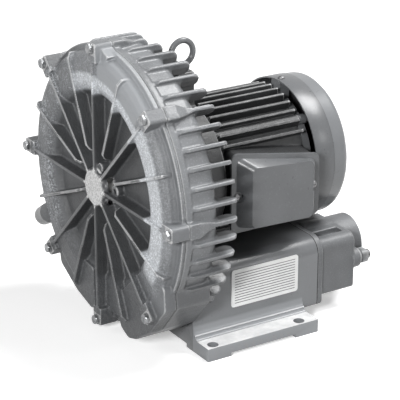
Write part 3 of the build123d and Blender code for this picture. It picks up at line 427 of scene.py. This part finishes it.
def step_tones(f, tone, step, light):
    """A painted shade line at a drawn step, and lighter past it."""
    along = f.axis("X")
    end = step + STEP_LINE
    # painted shade: a dark line where the step's crease falls into shade
    line = along.above(step - STEP_FADE, step) * along.below(end, end + STEP_FADE)
    tone = f.blend(along.above(step, step + 0.001) * 0.6, tone, grey(light * 1.6))
    return f.blend(line * 0.8, tone, grey(0.03))


def metal(name, dark, light, rough=0.3, grain=(1.0, 1.0, 1.0)):
    """Bare metal with fine grain that may run along one axis."""
    f = Finish(name)
    streak = f.noise(260.0, 3.0, 0.6, grain)
    f.set(
        Base_Color=f.blend(streak.above(0.3, 0.7), dark, light),
        Roughness=rough + streak * 0.2, Metallic=0.9,
    )
    f.bump(streak, 0.08, 0.5)
    return f.material


def soft_stuff(name, dark, light, rough, rate, depth):
    """Rubber, plastic, fibre or foam: no metal, a broken tone and a fine grain."""
    f = Finish(name)
    grain = f.noise(rate, 3.0, 0.6)
    f.set(
        Base_Color=f.blend(grain.above(0.35, 0.7), dark, light),
        Roughness=rough + grain * 0.15,
    )
    f.bump(grain, depth, 0.7)
    return f.material


def windings(name):
    """Enamelled copper wires laid round the stator's ends."""
    f = Finish(name)
    wires = f.node(
        "ShaderNodeTexWave", {"wave_type": "RINGS", "rings_direction": "X"},
        {"Vector": f.place, "Scale": 180.0, "Distortion": 3.0},
    )
    f.set(
        Base_Color=f.blend(wires, (0.20, 0.06, 0.02), (0.55, 0.22, 0.09)),
        Roughness=0.35 + wires * 0.2, Metallic=0.6,
    )
    f.bump(wires, 0.4)
    return f.material


def laminations(name):
    """Stamped steel sheets stacked along the shaft."""
    f = Finish(name)
    sheets = f.node(
        "ShaderNodeTexWave", {"wave_type": "BANDS", "bands_direction": "X"},
        {"Vector": f.place, "Scale": 320.0, "Distortion": 0.3},
    )
    f.set(
        Base_Color=f.blend(sheets, (0.10, 0.10, 0.11), (0.30, 0.30, 0.31)),
        Roughness=0.4 + sheets * 0.2, Metallic=0.8,
    )
    f.bump(sheets, 0.15)
    return f.material


FINISH = {
    # Paint on castings: dark and light tone, grain, wear of the edges, depth, shine.
    "cover": cover_paint("cover casting paint"),
    "casting": cast_paint("casing casting paint", 0.150, 0.200, 0.25, 0.5, 0.4, 0.25,
                          back=CASING_BACK),
    # near black: the motor's dark paint, darkened further as painted shade in the gaps between its
    # fins
    "motor": cast_paint("motor casting paint", 0.018, 0.032, 0.20, 0.95),
    "cap": cast_paint("end cap casting paint", 0.115, 0.145, 0.22, 0.6, 0.5),
    "casting_plain": cast_paint("casting paint on hidden parts", 0.10, 0.14, worn=0.0),

    # Paint on smooth metal.
    "satin": satin_paint("satin grey paint"),
    "hood": satin_paint("fan cover paint", 0.115, 0.140, step=HOOD_STEP),
    "base": satin_paint("base housing paint", foot=True),

    # Metals: dark and light tone, roughness, grain along each axis.
    "bolt": metal("painted bolt steel", (0.16, 0.165, 0.17), (0.34, 0.345, 0.35), 0.34),
    "screw": metal("dull screw steel", (0.12, 0.12, 0.123), (0.26, 0.26, 0.265), 0.38),
    "zinc": metal("zinc plated steel", (0.42, 0.42, 0.42), (0.60, 0.60, 0.59), 0.28),
    "bright": metal("ground steel", (0.45, 0.45, 0.46), (0.66, 0.66, 0.66), 0.16, (1, 12, 12)),
    "alloy": metal("cast aluminium", (0.42, 0.43, 0.44), (0.62, 0.62, 0.62), 0.38),
    "brass": metal("brass", (0.46, 0.32, 0.12), (0.68, 0.49, 0.20), 0.25),

    # The rest: dark and light tone, roughness, grains per metre, depth of the grain in mm.
    "plastic": soft_stuff("black plastic", (0.010, 0.010, 0.011), (0.03, 0.03, 0.032),
                          0.4, 300, 0.1),
    "rubber": soft_stuff("black rubber", (0.008, 0.008, 0.008), (0.02, 0.02, 0.02),
                         0.7, 420, 0.15),
    "fibre": soft_stuff("gasket fibre", (0.012, 0.012, 0.012), (0.04, 0.04, 0.04),
                        0.75, 600, 0.1),
    "foam": soft_stuff("silencer foam", (0.02, 0.02, 0.022), (0.07, 0.07, 0.075),
                       0.85, 500, 0.9),
    "plate": soft_stuff("white enamel plate", (0.84, 0.845, 0.84), (0.90, 0.90, 0.895),
                        0.28, 90, 0.02),
    "rule": soft_stuff("grey printed rule", (0.05, 0.05, 0.053), (0.09, 0.09, 0.094),
                       0.45, 300, 0.01),
    "windings": windings("copper windings"),
    "sheets": laminations("steel laminations"),
}

NODE_FINISH = {
    "casting_plain": ("front_cover", "rear_casing", "motor_frame", "front_end_shield",
                      "rear_end_shield", "right_end_cap", "left_end_cap"),
    "satin": ("fan_cover", "terminal_lid", "eyebolt"),
    "base": ("base_housing",),
    "bolt": ("cover_bolts", "casing_screws", "cap_bolts", "cap_plug"),
    "zinc": ("base_screws", "front_shield_screws", "rear_shield_screws", "fan_cover_screws",
             "lid_screws", "bearing_spring_washer", "impeller_washer", "impeller_nut"),
    "bright": ("shaft", "impeller_key", "front_bearing_outer_ring", "rear_bearing_outer_ring",
               "front_bearing_inner_ring", "rear_bearing_inner_ring"),
    "alloy": ("impeller",),
    "brass": ("terminal_studs",),
    "plastic": ("cooling_fan", "terminal_block", "cable_bush"),
    "rubber": ("shaft_seal",),
    "fibre": ("lid_gasket", "base_gasket", "right_cap_gasket", "left_cap_gasket"),
    "foam": ("right_silencer", "left_silencer"),
    "plate": ("nameplate",),
    "windings": ("stator_windings",),
    "sheets": ("stator_core", "rotor_core"),
}


def dress_nodes():
    """Gives every CAD node its finish, and stops where one has none."""
    dressed = set()
    for finish, names in NODE_FINISH.items():
        for name in names:
            for held in nodes[name].material_slots:
                held.material = FINISH[finish]
            dressed.add(name)
    missing = sorted(set(nodes) - dressed)
    if missing:
        raise ValueError(f"these nodes have no finish: {missing}")


# ------------------------------------------------------------------ making and keeping pieces

def linked(name, data):
    """An object in the scene for a mesh, a lamp or a camera."""
    obj = bpy.data.objects.new(name, data)
    scene.collection.objects.link(obj)
    return obj


def mesh_of(work, name):
    """The bmesh as a mesh; the bmesh is freed."""
    mesh = bpy.data.meshes.new(name)
    work.to_mesh(mesh)
    work.free()
    return mesh


def keep(name, mesh, finish, stands_for=(), smooth=True):
    """Makes a finished object of a mesh: its paint, its body and the nodes it stands for."""
    obj = linked(name, mesh)
    if finish:
        mesh.materials.clear()
        mesh.materials.append(FINISH[finish])
    if smooth:
        mesh.shade_smooth()
    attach(obj, "housing")
    if stands_for:
        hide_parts(*stands_for)


def baked(obj):
    """The object's mesh after its modifiers; the object itself is taken away."""
    bpy.context.view_layer.update()
    held = obj.evaluated_get(bpy.context.evaluated_depsgraph_get())
    mesh = bpy.data.meshes.new_from_object(held)
    bpy.data.objects.remove(obj)
    return mesh


def sharpen(mesh, degrees):
    """Smooth shading that breaks at edges sharper than an angle."""
    mesh.shade_smooth()
    mesh.set_sharp_from_angle(angle=math.radians(degrees))


# ------------------------------------------------------------------ skins over the solids

JOIN_DISTANCE = 2e-6
MOST_TRIANGLES = 190000                # a piece stays under 200,000
FLAT_ANGLE, EDGE_ANGLE = 1.0, 32.0     # degrees: joined into one face, and eased from
SKIN_SHARP_ANGLE, LOFT_SHARP_ANGLE = 40.0, 35.0

CASTINGS = (  # piece, node it stands for, voxel in mm, rounds of smoothing, finish
    ("cover_casting", "front_cover", 0.95, 3, "cover"),
    ("casing_casting", "rear_casing", 1.2, 3, "casting"),
    ("motor_casting", "motor_frame", 0.95, 1, "motor"),
    # the shield takes the motor's near-black paint as painted shade: the casing's shadow falls on
    # it
    ("shield_casting", "front_end_shield", 1.3, 3, "motor"),
    ("right_cap_casting", "right_end_cap", 0.8, 2, "cap"),
    ("left_cap_casting", "left_end_cap", 1.0, 3, "cap"),
)

EASED = (  # piece, node it stands for, width of the eased edge in mm, its steps, finish
    ("base_box", "base_housing", 1.4, 3, "base"),
    ("terminal_cover", "terminal_lid", 2.2, 4, "satin"),
    ("fan_hood", "fan_cover", 0.5, 2, "hood"),
)


def joined_copy(node):
    """A node's mesh as one closed skin, with its loose triangles joined."""
    work = bmesh.new()
    work.from_mesh(nodes[node].data)
    bmesh.ops.remove_doubles(work, verts=work.verts, dist=JOIN_DISTANCE)
    return work


def cast_skin(node, voxel_mm, rounds):
    """A node's shape poured in one piece: corners filled and edges rounded, as in a casting."""
    name = node + " skin"
    obj = linked(name, mesh_of(joined_copy(node), name))
    cubes = obj.modifiers.new("cubes", "REMESH")
    cubes.mode = "VOXEL"
    cubes.voxel_size = voxel_mm * MM
    ease = obj.modifiers.new("ease", "SMOOTH")
    ease.factor = 0.5
    ease.iterations = rounds
    skin = baked(obj)
    count = sum(len(face.vertices) - 2 for face in skin.polygons)
    if count <= MOST_TRIANGLES:
        return skin
    obj = linked(name, skin)
    obj.modifiers.new("thin", "DECIMATE").ratio = MOST_TRIANGLES / count
    return baked(obj)


def eased_skin(node, width_mm, steps):
    """A node's shape with a real radius along its edges."""
    name = node + " skin"
    work = joined_copy(node)
    bmesh.ops.dissolve_limit(
        work, angle_limit=math.radians(FLAT_ANGLE), verts=work.verts, edges=work.edges
    )
    obj = linked(name, mesh_of(work, name))
    edge = obj.modifiers.new("edge", "BEVEL")
    edge.width = width_mm * MM
    edge.segments = steps
    edge.limit_method = "ANGLE"
    edge.angle_limit = math.radians(EDGE_ANGLE)
    edge.use_clamp_overlap = True
    skin = baked(obj)
    sharpen(skin, SKIN_SHARP_ANGLE)
    return skin


def make_castings():
    for name, node, voxel, rounds, finish in CASTINGS:
        keep(name, cast_skin(node, voxel, rounds), finish, stands_for=(node,))


def make_eased():
    for name, node, width, steps, finish in EASED:
        keep(name, eased_skin(node, width, steps), finish,
             stands_for=(node,), smooth=False)


# ------------------------------------------------------------------ bolts, screws and rules

COVER_BOLT_COUNT, COVER_BOLT_CIRCLE, COVER_BOLT_SEAT = 8, 0.150, HUB_X + 0.001
CAP_BOLT_SEAT = HUB_X + 0.227
CAP_BOLT_PLACES = ((0.0705, 0.081), (0.0705, 0.0172), (0.012, 0.077), (0.012, 0.0172))
CAP_BOLT_SIZES = {"Across corners": 0.0092, "Head height": 0.0028, "Washer radius": 0.0050,
                  "Washer thickness": 0.0006}
HOOD_SCREW_COUNT, HOOD_SCREW_RADIUS, HOOD_SCREW_X = 3, 0.0792, HUB_X + 0.233
LID_YAW = math.radians(7.3)            # how far the terminal box is turned towards the cover
LID_CORNER = (HUB_X + 0.119, -0.076, SHAFT_Z - 0.009)
LID_SCREW_SEAT, LID_SCREWS_ALONG = 0.0045, (0.0065, 0.0953)
LOWEST_RULE = (HUB_X + 0.152, -0.0948, 0.0430)
RULE_COUNT, RULE_PITCH = 12, 0.0030


def points_mesh(name, places):
    """Loose points, each with the direction that its part looks in."""
    mesh = bpy.data.meshes.new(name)
    mesh.from_pydata([place for place, _ in places], [], [])
    aim = mesh.attributes.new("aim", "FLOAT_VECTOR", "POINT")
    for i, (_, look) in enumerate(places):
        aim.data[i].vector = look
    return mesh


def hexagon_bolts():
    """Tree for hexagon bolt heads: a washer under a head with chamfered corners."""
    p = Pattern("hexagon bolts", {
        "Across corners": 0.0112, "Head height": 0.0031, "Washer radius": 0.0058,
        "Washer thickness": 0.0009,
    })
    tall, corner = p.size("Head height"), p.size("Across corners")
    thin, wide = p.size("Washer thickness"), p.size("Washer radius")
    head = p.node("GeometryNodeMeshCylinder", None,
                  {"Vertices": 6, "Radius": corner * 0.5, "Depth": tall})
    head = p.lift(head, tall * 0.5 + thin)
    crown = p.node("GeometryNodeMeshCone", None, {
        "Vertices": 28, "Radius Top": corner * 0.40, "Radius Bottom": corner * 0.62,
        "Depth": tall * 1.2})
    crown = p.lift(crown, thin)
    washer = p.node("GeometryNodeMeshCylinder", None,
                    {"Vertices": 28, "Radius": wide, "Depth": thin})
    washer = p.lift(washer, thin * 0.5)
    p.close(p.along_points(p.join(p.cut("INTERSECT", head, crown), washer)), "bolt")
    return p


def pan_screws():
    """Tree for small pan head screws with one slot."""
    p = Pattern("pan head screws", {"Head radius": 0.004, "Head height": 0.0022, "Slot": 0.0009})
    wide, tall = p.size("Head radius"), p.size("Head height")
    ball = p.node("GeometryNodeMeshUVSphere", None, {"Segments": 24, "Rings": 12, "Radius": wide})
    dome = p.node("GeometryNodeTransform", None, {
        "Geometry": ball, "Scale": p.vector(1.0, 1.0, tall / wide)})
    slot = p.node("GeometryNodeMeshCube", None, {
        "Size": p.vector(wide * 2.4, p.size("Slot"), tall * 0.9)})
    p.close(p.along_points(p.cut("DIFFERENCE", dome, p.lift(slot, tall))), "screw")
    return p


def plate_rules():
    """Tree for thin printed rules: a flat bar at each point."""
    p = Pattern("plate rules", {"Length": 0.076, "Width": 0.0007, "Thickness": 0.00012})
    bar = p.node("GeometryNodeMeshCube", None, {
        "Size": p.vector(p.size("Length"), p.size("Width"), p.size("Thickness"))})
    p.close(p.along_points(bar), "rule")
    return p


def from_shaft(turn):
    """The direction out from the shaft, at a turn from its top towards the terminal box."""
    return Vector((0.0, -math.sin(turn), math.cos(turn)))


def round_places(count, radius, x, look=None):
    """Places round the shaft, from the top on; each part looks outwards, or as look says."""
    out = []
    for i in range(count):
        radial = from_shaft(2.0 * math.pi * i / count)
        place = Vector((x, 0.0, SHAFT_Z)) + radial * radius
        out.append((place, radial if look is None else look))
    return out


def cap_bolt_places():
    """Four bolts on each of the two end caps."""
    return [(Vector((CAP_BOLT_SEAT, side * y, z)), X_AXIS)
            for side in (-1, 1) for y, z in CAP_BOLT_PLACES]


def lid_screw_places():
    """The two lid screws, in the turned plane of the terminal box's flange."""
    along = Vector((math.cos(LID_YAW), -math.sin(LID_YAW), 0.0))
    out = Vector((-math.sin(LID_YAW), -math.cos(LID_YAW), 0.0))
    return [(Vector(LID_CORNER) + along * u + out * LID_SCREW_SEAT, out)
            for u in LID_SCREWS_ALONG]


def rule_places():
    """The plate's rules, one above another."""
    x, front, low = LOWEST_RULE
    return [(Vector((x, front, low + RULE_PITCH * i)), NEAR_SIDE) for i in range(RULE_COUNT)]


def make_fasteners():
    hexes, pans = hexagon_bolts(), pan_screws()
    cover_bolts = round_places(COVER_BOLT_COUNT, COVER_BOLT_CIRCLE, COVER_BOLT_SEAT, -X_AXIS)
    hood_screws = round_places(HOOD_SCREW_COUNT, HOOD_SCREW_RADIUS, HOOD_SCREW_X)
    for name, mesh, node in (
        ("cover_bolt_heads", hexes.make("cover bolts", cover_bolts), "cover_bolts"),
        ("cap_bolt_heads", hexes.make("cap bolts", cap_bolt_places(), CAP_BOLT_SIZES),
         "cap_bolts"),
        ("hood_screw_heads", pans.make("hood screws", hood_screws), "fan_cover_screws"),
        ("lid_screw_heads", pans.make("lid screws", lid_screw_places()), "lid_screws"),
    ):
        keep(name, mesh, None, stands_for=(node,), smooth=False)


def make_plate_rules():
    mesh = plate_rules().make("rules", rule_places())
    keep("nameplate_rules", mesh, None, smooth=False)


# ------------------------------------------------------------------ plug, rim boss, foot roots

PLUG_Y, PLUG_Z, PLUG_SEAT = -0.0825, 0.054, HUB_X + 0.279
PLUG_POINTS = 48
PLUG_STEPS = (  # past the seat and half the width in mm, squareness
    (0.0, 8.6, 2), (0.5, 9.2, 2), (2.4, 9.0, 2), (3.4, 7.8, 2), (3.9, 7.2, 2.4), (4.4, 6.4, 7),
    (5.0, 6.8, 9), (12.6, 6.5, 9), (14.2, 5.3, 8), (14.2, 4.6, 3), (13.2, 4.4, 2),
)
DISC_STEPS = ((12.9, 5.0, 2), (16.0, 5.3, 2), (16.7, 4.8, 2), (16.9, 4.2, 2))

RIM_BOSS_TURN, RIM_BOSS_X = math.radians(239.3), HUB_X + 0.0088
RIM_BOSS_POINTS = 40
RIM_BOSS_STEPS = (  # from the shaft and half the width, in mm
    (138.0, 11.4), (150.0, 11.0), (155.5, 10.6), (157.4, 9.6), (158.2, 7.6),
)

FOOT_FRONT, FOOT_BACK = HUB_X + 0.0632, HUB_X + 0.2008
FOOT_PROFILE = (  # from the middle and above the floor, in mm
    (93.7, 32.5), (94.05, 28.5), (94.6, 25.2), (95.5, 22.2), (96.6, 20.2), (97.5, 19.3),
    (98.0, 19.0), (98.35, 18.7), (98.6, 17.4), (99.2, 16.1), (100.2, 15.1), (101.2, 14.7),
    (102.2, 14.58), (102.2, 14.1), (93.7, 14.1),
)


def ring_solid(name, rings):
    """Closed solid lofted through rings of points, one after another."""
    work = bmesh.new()
    loops = [[work.verts.new(point) for point in ring] for ring in rings]
    for near, far in zip(loops, loops[1:]):
        for i in range(len(near)):
            j = (i + 1) % len(near)
            work.faces.new((near[i], near[j], far[j], far[i]))
    work.faces.new(loops[0])
    work.faces.new(loops[-1])
    bmesh.ops.recalc_face_normals(work, faces=work.faces)
    mesh = mesh_of(work, name)
    sharpen(mesh, LOFT_SHARP_ANGLE)
    return mesh


def squared_ring(x, half, power):
    """Ring across the plug's axis: a circle at power 2, nearly a square at power 9."""
    ring = []
    for i in range(PLUG_POINTS):
        a = 2.0 * math.pi * (i + 0.5) / PLUG_POINTS
        reach = half / (abs(math.cos(a)) ** power + abs(math.sin(a)) ** power) ** (1.0 / power)
        ring.append(Vector((x, PLUG_Y + reach * math.cos(a), PLUG_Z + reach * math.sin(a))))
    return ring


def make_plug():
    """The screwed plug: a collar, a squared head, and a dark disc in its end."""
    for name, steps, finish, slot, stands_for in (
        ("plug_body", PLUG_STEPS, "cap", "smooth_grey_paint", ("cap_plug",)),
        ("plug_disc", DISC_STEPS, "plastic", "black_plastic", ()),
    ):
        rings = [squared_ring(PLUG_SEAT + x * MM, half * MM, power) for x, half, power in steps]
        keep(name, ring_solid(name, rings), finish, stands_for, smooth=False)


def make_rim_boss():
    """A round casting boss on the far side of the cover's rim, low down."""
    out = from_shaft(RIM_BOSS_TURN)
    across = out.cross(X_AXIS)
    middle = Vector((RIM_BOSS_X, 0.0, SHAFT_Z))
    turns = [2.0 * math.pi * i / RIM_BOSS_POINTS for i in range(RIM_BOSS_POINTS)]
    rings = []
    for away, half in RIM_BOSS_STEPS:
        centre = middle + out * away * MM
        rings.append([centre + (X_AXIS * math.cos(t) + across * math.sin(t)) * half * MM
                      for t in turns])
    keep("rim_boss", ring_solid("rim boss", rings), "casting", smooth=False)


def make_foot_roots():
    """The hollow radius and lip where each side of the base meets its foot."""
    for name, side in (("right_foot_root", -1), ("left_foot_root", 1)):
        rings = [[Vector((x, side * y * MM, z * MM)) for y, z in FOOT_PROFILE]
                 for x in (FOOT_FRONT, FOOT_BACK)]
        keep(name, ring_solid(name, rings), "base", smooth=False)


# ------------------------------------------------------------------ camera, light and floor

LENS, FILM = 165.51, 36.0              # mm
CAMERA_PLACE, CAMERA_AIM = (-967.0, -1559.4, 863.2), (2.49, 0.0, 123.95)   # mm
CAMERA_NEAR, CAMERA_FAR = 0.05, 50.0

SOFTBOXES = (  # name, place, point it looks at, side, watts
    ("key softbox", (-1.75, -1.42, 1.15), (0.0, 0.0, 0.15), 0.40, 50.0),
    ("top softbox", (1.05, -0.30, 2.05), (0.0, 0.0, 0.15), 1.0, 58.0),
    ("side softbox", (1.25, -1.95, 1.05), (0.1, 0.0, 0.15), 0.4, 5.0),
    ("left softbox", (-2.2, 1.1, 1.3), (-0.1, 0.0, 0.15), 0.6, 10.0),
)

WORLD_LIT, WORLD_SEEN = 0.04, 1.0      # strength on the blower, and behind it
FLOOR_HALF = 6.0
FLOOR_WHITE, FLOOR_DULL = (0.93,) * 3, (0.24,) * 3     # as seen, and as it lights the blower
GLOW_NEAR, GLOW_FAR = (0.42,) * 3, (1.0,) * 3
GLOW_FADE = (1.0, 3.0)                 # from the blower's middle, in metres


class Studio(Sheet):
    """The world's nodes."""

    def __init__(self, name):
        self.world = bpy.data.worlds.new(name)
        self.world.use_nodes = True
        self.tree = self.world.node_tree
        self.tree.nodes.clear()


def background_ray(sheet):
    """1 for rays that show the background: seen straight, mirrored or through glass."""
    path = sheet.tree.nodes.new("ShaderNodeLightPath").outputs
    either = sheet.node("ShaderNodeMath", {"operation": "MAXIMUM"},
                        {0: path["Is Camera Ray"], 1: path["Is Glossy Ray"]})
    return sheet.node("ShaderNodeMath", {"operation": "MAXIMUM"},
                      {0: either, 1: path["Is Transmission Ray"]})


def look_at(obj, place, aim):
    """Puts a lamp or a camera at a place and turns it to a point."""
    obj.location = place
    obj.rotation_mode = "QUATERNION"
    obj.rotation_quaternion = (aim - place).to_track_quat("-Z", "Y")


def set_camera():
    """A long lens at a three-quarter view, from the cover's side and a little above."""
    data = bpy.data.cameras.new("blower camera")
    data.lens = LENS
    data.sensor_width = FILM
    data.clip_start, data.clip_end = CAMERA_NEAR, CAMERA_FAR
    camera = linked("blower camera", data)
    look_at(camera, Vector(CAMERA_PLACE) * MM, Vector(CAMERA_AIM) * MM)
    scene.camera = camera


def set_lights():
    """Square softboxes round the blower."""
    for name, place, aim, side, watts in SOFTBOXES:
        data = bpy.data.lights.new(name, "AREA")
        data.shape = "SQUARE"
        data.size = side
        data.energy = watts
        look_at(linked(name, data), Vector(place), Vector(aim))


def set_world():
    """White behind everything, and a faint even light on the blower."""
    studio = Studio("white studio")
    lit, seen = (
        studio.node("ShaderNodeBackground", None, {"Color": (1.0, 1.0, 1.0), "Strength": strength})
        for strength in (WORLD_LIT, WORLD_SEEN)
    )
    mix = studio.node("ShaderNodeMixShader", None, {0: background_ray(studio), 1: lit, 2: seen})
    studio.node("ShaderNodeOutputWorld", None, {"Surface": mix}, output=None)
    scene.world = studio.world


def make_floor():
    """A white floor that keeps the blower's shadow and throws little light back at it."""
    work = bmesh.new()
    bmesh.ops.create_grid(work, x_segments=1, y_segments=1, size=FLOOR_HALF)
    mesh = mesh_of(work, "studio floor")
    f = Finish("white studio floor")
    f.set(Base_Color=FLOOR_WHITE, Roughness=0.9, Specular_IOR_Level=0.0)
    away = f.node("ShaderNodeVectorMath", {"operation": "LENGTH"}, {0: f.place}, output="Value")
    glow = f.node("ShaderNodeEmission", None, {
        "Color": f.blend(away.above(*GLOW_FADE), GLOW_NEAR, GLOW_FAR), "Strength": 1.0})
    white = f.node("ShaderNodeAddShader", None, {0: f.coat.outputs[0], 1: glow})
    dull = f.node("ShaderNodeBsdfDiffuse", None, {"Color": FLOOR_DULL})
    mix = f.node("ShaderNodeMixShader", None, {0: background_ray(f), 1: dull, 2: white})
    f.feed(f.out.inputs["Surface"], mix)
    mesh.materials.append(f.material)
    linked("studio floor", mesh)


set_camera()
set_world()
set_lights()
make_floor()
dress_nodes()
make_castings()
make_eased()
make_fasteners()
make_plug()
make_rim_boss()
make_foot_roots()
make_plate_rules()
